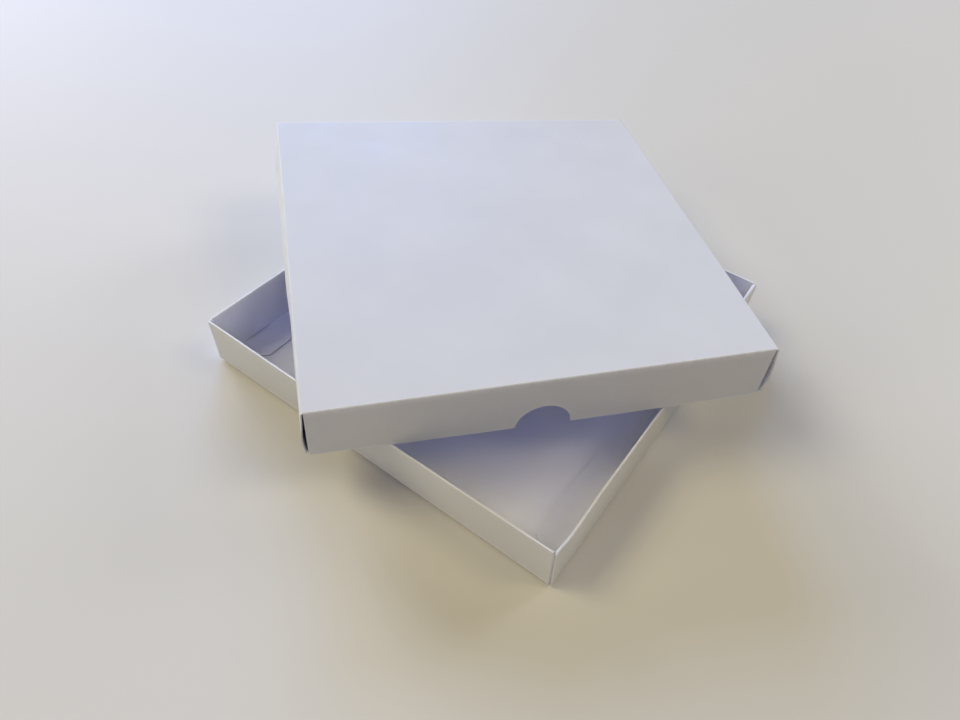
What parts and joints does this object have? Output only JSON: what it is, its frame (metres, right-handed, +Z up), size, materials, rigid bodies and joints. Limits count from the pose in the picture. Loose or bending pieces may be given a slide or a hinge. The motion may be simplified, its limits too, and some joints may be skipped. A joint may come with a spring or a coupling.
{
  "type": "gift box",
  "caption": "Shallow square gift box of folded white paperboard: an open base tray and a lift-off telescoping lid with a half-round thumb notch, lying turned on the tray's rim.",
  "frame": {"origin": "middle of the underside of the base's floor, on the surface the box stands on", "axes": "+Z up; +X to the right and +Y to the back along the base's walls, with the rolled side walls at -X and +X; the lid is turned 48.3 degrees about +Z from them"},
  "size_m": [0.2278, 0.2278, 0.0439],
  "materials": {
    "lid_board": "smooth white coated paperboard, soft satin",
    "base_board": "smooth white coated paperboard, soft satin",
    "liner_board": "smooth white coated paperboard, soft satin",
    "flap_board": "smooth white coated paperboard, soft satin"
  },
  "bodies": {
    "base": {"base_floor": "base_board", "base_end_wall_front": "base_board", "base_corner_flap_front_left": "flap_board", "base_corner_flap_front_right": "flap_board", "base_end_wall_back": "base_board", "base_corner_flap_back_left": "flap_board", "base_corner_flap_back_right": "flap_board", "base_side_wall_left": "base_board", "base_rim_ledge_left": "base_board", "base_side_wall_right": "base_board", "base_rim_ledge_right": "base_board"},
    "lid": {"lid_top": "lid_board", "lid_end_wall_front": "lid_board", "lid_corner_flap_front_left": "flap_board", "lid_corner_flap_front_right": "flap_board", "lid_end_wall_back": "lid_board", "lid_corner_flap_back_left": "flap_board", "lid_corner_flap_back_right": "flap_board", "lid_side_wall_left": "lid_board", "lid_rim_ledge_left": "lid_board", "lid_side_wall_right": "lid_board", "lid_rim_ledge_right": "lid_board"},
    "base_liner_left": {"base_liner_left": "liner_board"},
    "base_floor_flap_left": {"base_floor_flap_left": "flap_board"},
    "base_liner_right": {"base_liner_right": "liner_board"},
    "base_floor_flap_right": {"base_floor_flap_right": "flap_board"},
    "lid_liner_left": {"lid_liner_left": "liner_board"},
    "lid_top_flap_left": {"lid_top_flap_left": "flap_board"},
    "lid_liner_right": {"lid_liner_right": "liner_board"},
    "lid_top_flap_right": {"lid_top_flap_right": "flap_board"}
  },
  "joints": [
    {"name": "lid_lift", "type": "slide", "parent": "base", "child": "lid", "axis": [0, 0, 1], "range_m": [0, 0.1]},
    {"name": "base_liner_left_swing", "type": "hinge", "parent": "base", "child": "base_liner_left", "pos_m": [-0.0765, 0, 0.02175], "axis": [0, -1, 0], "range_deg": [0, 90]},
    {"name": "base_floor_flap_left_fold", "type": "hinge", "parent": "base_liner_left", "child": "base_floor_flap_left", "pos_m": [-0.07605, 0, 0.0012], "axis": [0, -1, 0], "range_deg": [-90, 0]},
    {"name": "lid_liner_left_swing", "type": "hinge", "parent": "lid", "child": "lid_liner_left", "pos_m": [-0.06539, -0.04413, 0.02295], "axis": [-0.7466, 0.6652, 0], "range_deg": [0, 90]},
    {"name": "lid_top_flap_left_fold", "type": "hinge", "parent": "lid_liner_left", "child": "lid_top_flap_left", "pos_m": [-0.06509, -0.0438, 0.0427], "axis": [-0.7466, 0.6652, 0], "range_deg": [-90, 0]},
    {"name": "base_liner_right_swing", "type": "hinge", "parent": "base", "child": "base_liner_right", "pos_m": [0.0765, 0, 0.02175], "axis": [0, 1, 0], "range_deg": [0, 90]},
    {"name": "base_floor_flap_right_fold", "type": "hinge", "parent": "base_liner_right", "child": "base_floor_flap_right", "pos_m": [0.07605, 0, 0.0012], "axis": [0, 1, 0], "range_deg": [-90, 0]},
    {"name": "lid_liner_right_swing", "type": "hinge", "parent": "lid", "child": "lid_liner_right", "pos_m": [0.03999, 0.07413, 0.02295], "axis": [0.7466, -0.6652, 0], "range_deg": [0, 90]},
    {"name": "lid_top_flap_right_fold", "type": "hinge", "parent": "lid_liner_right", "child": "lid_top_flap_right", "pos_m": [0.03969, 0.0738, 0.0427], "axis": [0.7466, -0.6652, 0], "range_deg": [-90, 0]}
  ],
  "couplings": [
    {"joint": "base_floor_flap_left_fold", "follows": "base_liner_left_swing", "ratio": -1},
    {"joint": "lid_top_flap_left_fold", "follows": "lid_liner_left_swing", "ratio": -1},
    {"joint": "base_floor_flap_right_fold", "follows": "base_liner_right_swing", "ratio": -1},
    {"joint": "lid_top_flap_right_fold", "follows": "lid_liner_right_swing", "ratio": -1}
  ]
}
